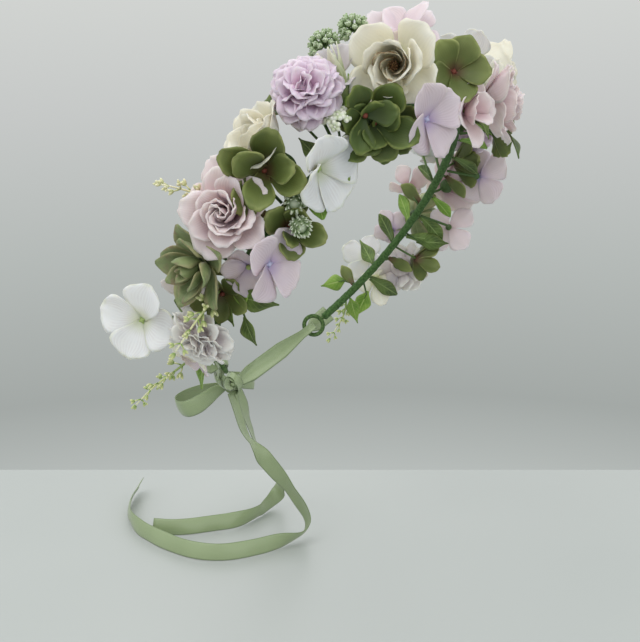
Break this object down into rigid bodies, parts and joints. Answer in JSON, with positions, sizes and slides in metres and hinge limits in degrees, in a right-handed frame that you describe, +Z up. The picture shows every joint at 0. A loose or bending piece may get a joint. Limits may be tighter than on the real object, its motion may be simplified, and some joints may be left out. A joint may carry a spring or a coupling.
{
  "type": "flower crown",
  "caption": "Half-wreath head crown of fabric roses, pompoms, florets and leaves on a taped wire ring with end loops, tied at the nape by a satin ribbon bow.",
  "frame": {"origin": "middle of the wire ring, where the head passes through it, with the crown as worn", "axes": "+Z up, the wearer faces -Y, the wearer's right is -X; the ring rises to the front at 54 degrees"},
  "size_m": [0.2317, 0.2512, 0.2887],
  "materials": {
    "wire_paper": "dark green paper-covered steel wire",
    "floral_tape": "crinkled stretched waxed paper tape",
    "stem_plastic": "moulded matt plastic over wire",
    "petal_cream": "stiffened polyester petals, ivory",
    "petal_mauve": "stiffened polyester petals, dusty mauve pink",
    "petal_lilac": "stiffened polyester petals, lilac",
    "petal_lavender": "stiffened polyester petals, grey lavender",
    "petal_pink": "stiffened polyester petals, pale pink",
    "petal_white": "stiffened polyester petals, white with a green edge",
    "petal_olive": "stiffened polyester petals, olive green",
    "petal_ivory": "stiffened polyester petals, grey ivory",
    "succulent": "soft flocked plastic leaves, grey green",
    "leaf": "stiffened fabric leaves",
    "sprig_cream": "moulded cream plastic buds",
    "sprig_green": "moulded green plastic buds",
    "pod": "frosted moulded plastic pods",
    "ribbon": "sage green satin ribbon"
  },
  "bodies": {
    "crown": {"bud_pointed_green": "leaf", "floral_tape": "floral_tape", "floret_green_front": "petal_olive", "floret_green_left": "petal_olive", "floret_lavender_front": "petal_lavender", "floret_lavender_left": "petal_lavender", "floret_lavender_right": "petal_lavender", "floret_olive_front": "petal_olive", "floret_olive_left": "petal_olive", "floret_olive_right": "petal_olive", "floret_pink_front": "petal_pink", "floret_pink_left": "petal_pink", "floret_stems_left": "stem_plastic", "floret_stems_right": "stem_plastic", "floret_white_left": "petal_white", "floret_white_nape": "petal_white", "floret_white_nape_left": "petal_white", "floret_white_right": "petal_white", "flower_small_white": "sprig_cream", "frame_wire": "wire_paper", "leaves_front": "leaf", "leaves_left": "leaf", "leaves_right": "leaf", "pods_right": "pod", "pompom_ivory_left_stem": "stem_plastic", "pompom_ivory_right_stem": "stem_plastic", "pompom_lilac_left_stem": "stem_plastic", "pompom_lilac_right_stem": "stem_plastic", "ribbon_knot": "ribbon", "ribbon_strand_left": "ribbon", "ribbon_strand_right": "ribbon", "ribbon_tail_long": "ribbon", "ribbon_tail_short": "ribbon", "rose_cream_front_stem": "stem_plastic", "rose_cream_left_stem": "stem_plastic", "rose_cream_right_stem": "stem_plastic", "rose_mauve_front_stem": "stem_plastic", "rose_mauve_left_stem": "stem_plastic", "rose_mauve_right_stem": "stem_plastic", "succulent_left_stem": "stem_plastic", "succulent_right_stem": "stem_plastic", "umbels_front": "pod"},
    "rose_cream_front_head": {"rose_cream_front": "petal_cream"},
    "rose_mauve_front_head": {"rose_mauve_front": "petal_mauve"},
    "pompom_lilac_right_head": {"pompom_lilac_right": "petal_lilac"},
    "rose_cream_right_head": {"rose_cream_right": "petal_cream"},
    "rose_mauve_right_head": {"rose_mauve_right": "petal_mauve"},
    "succulent_right_head": {"succulent_right": "succulent"},
    "pompom_ivory_right_head": {"pompom_ivory_right": "petal_ivory"},
    "rose_cream_left_head": {"rose_cream_left": "petal_cream"},
    "pompom_lilac_left_head": {"pompom_lilac_left": "petal_lilac"},
    "rose_mauve_left_head": {"rose_mauve_left": "petal_mauve"},
    "succulent_left_head": {"succulent_left": "succulent"},
    "pompom_ivory_left_head": {"pompom_ivory_left": "petal_ivory"},
    "sprig_cream_right_spray": {"sprig_cream_right": "sprig_cream"},
    "sprig_hanging_right_spray": {"sprig_hanging_right": "sprig_green"},
    "sprig_nape_right_spray": {"sprig_nape_right": "sprig_green"},
    "sprig_nape_left_spray": {"sprig_nape_left": "sprig_green"},
    "bow_loop_right_ribbon": {"bow_loop_right": "ribbon"},
    "bow_loop_left_ribbon": {"bow_loop_left": "ribbon"}
  },
  "joints": [
    {"name": "rose_cream_front_twist", "type": "hinge", "parent": "crown", "child": "rose_cream_front_head", "pos_m": [-0.04169, -0.05402, 0.08445], "axis": [-0.937, -0.347, -0.0394], "continuous": true},
    {"name": "rose_mauve_front_twist", "type": "hinge", "parent": "crown", "child": "rose_mauve_front_head", "pos_m": [0.00843, -0.07085, 0.06869], "axis": [0.4736, -0.8766, 0.085], "continuous": true},
    {"name": "pompom_lilac_right_twist", "type": "hinge", "parent": "crown", "child": "pompom_lilac_right_head", "pos_m": [-0.06794, -0.03005, 0.06946], "axis": [-0.8609, -0.1948, 0.47], "continuous": true},
    {"name": "rose_cream_right_twist", "type": "hinge", "parent": "crown", "child": "rose_cream_right_head", "pos_m": [-0.07889, -0.01912, 0.05159], "axis": [-0.7942, 0.3854, 0.4698], "continuous": true},
    {"name": "rose_mauve_right_twist", "type": "hinge", "parent": "crown", "child": "rose_mauve_right_head", "pos_m": [-0.09442, -0.0081, 0.02566], "axis": [-0.9294, -0.335, 0.1546], "continuous": true},
    {"name": "succulent_right_twist", "type": "hinge", "parent": "crown", "child": "succulent_right_head", "pos_m": [-0.09666, 0.0043, 0.00473], "axis": [-0.9809, 0.1053, -0.1634], "continuous": true},
    {"name": "pompom_ivory_right_twist", "type": "hinge", "parent": "crown", "child": "pompom_ivory_right_head", "pos_m": [-0.09059, 0.0086, -0.02434], "axis": [-0.8212, 0.0163, -0.5705], "continuous": true},
    {"name": "rose_cream_left_twist", "type": "hinge", "parent": "crown", "child": "rose_cream_left_head", "pos_m": [0.05044, -0.04685, 0.07787], "axis": [0.8219, -0.461, 0.3345], "continuous": true},
    {"name": "pompom_lilac_left_twist", "type": "hinge", "parent": "crown", "child": "pompom_lilac_left_head", "pos_m": [0.07672, -0.02885, 0.05428], "axis": [0.9327, -0.1848, 0.3096], "continuous": true},
    {"name": "rose_mauve_left_twist", "type": "hinge", "parent": "crown", "child": "rose_mauve_left_head", "pos_m": [0.09374, -0.0148, 0.02056], "axis": [0.944, -0.2223, 0.2439], "continuous": true},
    {"name": "succulent_left_twist", "type": "hinge", "parent": "crown", "child": "succulent_left_head", "pos_m": [0.09662, 0.00647, 0.00187], "axis": [0.9743, 0.1267, -0.1863], "continuous": true},
    {"name": "pompom_ivory_left_twist", "type": "hinge", "parent": "crown", "child": "pompom_ivory_left_head", "pos_m": [0.08913, 0.01245, -0.02693], "axis": [0.8198, 0.1137, -0.5612], "continuous": true},
    {"name": "sprig_cream_right_bend", "type": "hinge", "parent": "crown", "child": "sprig_cream_right_spray", "pos_m": [-0.07714, -0.00809, 0.01531], "axis": [-0.181, 0.5781, -0.7956], "range_deg": [-8, 12]},
    {"name": "sprig_hanging_right_bend", "type": "hinge", "parent": "crown", "child": "sprig_hanging_right_spray", "pos_m": [-0.0799, 0.00643, -0.00912], "axis": [0.1156, 0.5838, -0.8036], "range_deg": [-8, 10]},
    {"name": "sprig_nape_right_bend", "type": "hinge", "parent": "crown", "child": "sprig_nape_right_spray", "pos_m": [-0.0628, 0.03302, -0.04494], "axis": [0.5777, 0.4798, -0.6604], "range_deg": [-12, 14]},
    {"name": "sprig_nape_left_bend", "type": "hinge", "parent": "crown", "child": "sprig_nape_left_spray", "pos_m": [0.0622, 0.03351, -0.04561], "axis": [0.5863, -0.4762, 0.6554], "range_deg": [-14, 12]},
    {"name": "bow_loop_right_droop", "type": "hinge", "parent": "crown", "child": "bow_loop_right_ribbon", "pos_m": [-0.0045, 0.0732, -0.089], "axis": [0, 1, 0], "range_deg": [-18, 12]},
    {"name": "bow_loop_left_droop", "type": "hinge", "parent": "crown", "child": "bow_loop_left_ribbon", "pos_m": [0.0045, 0.0732, -0.089], "axis": [0, 1, 0], "range_deg": [-12, 18]}
  ]
}
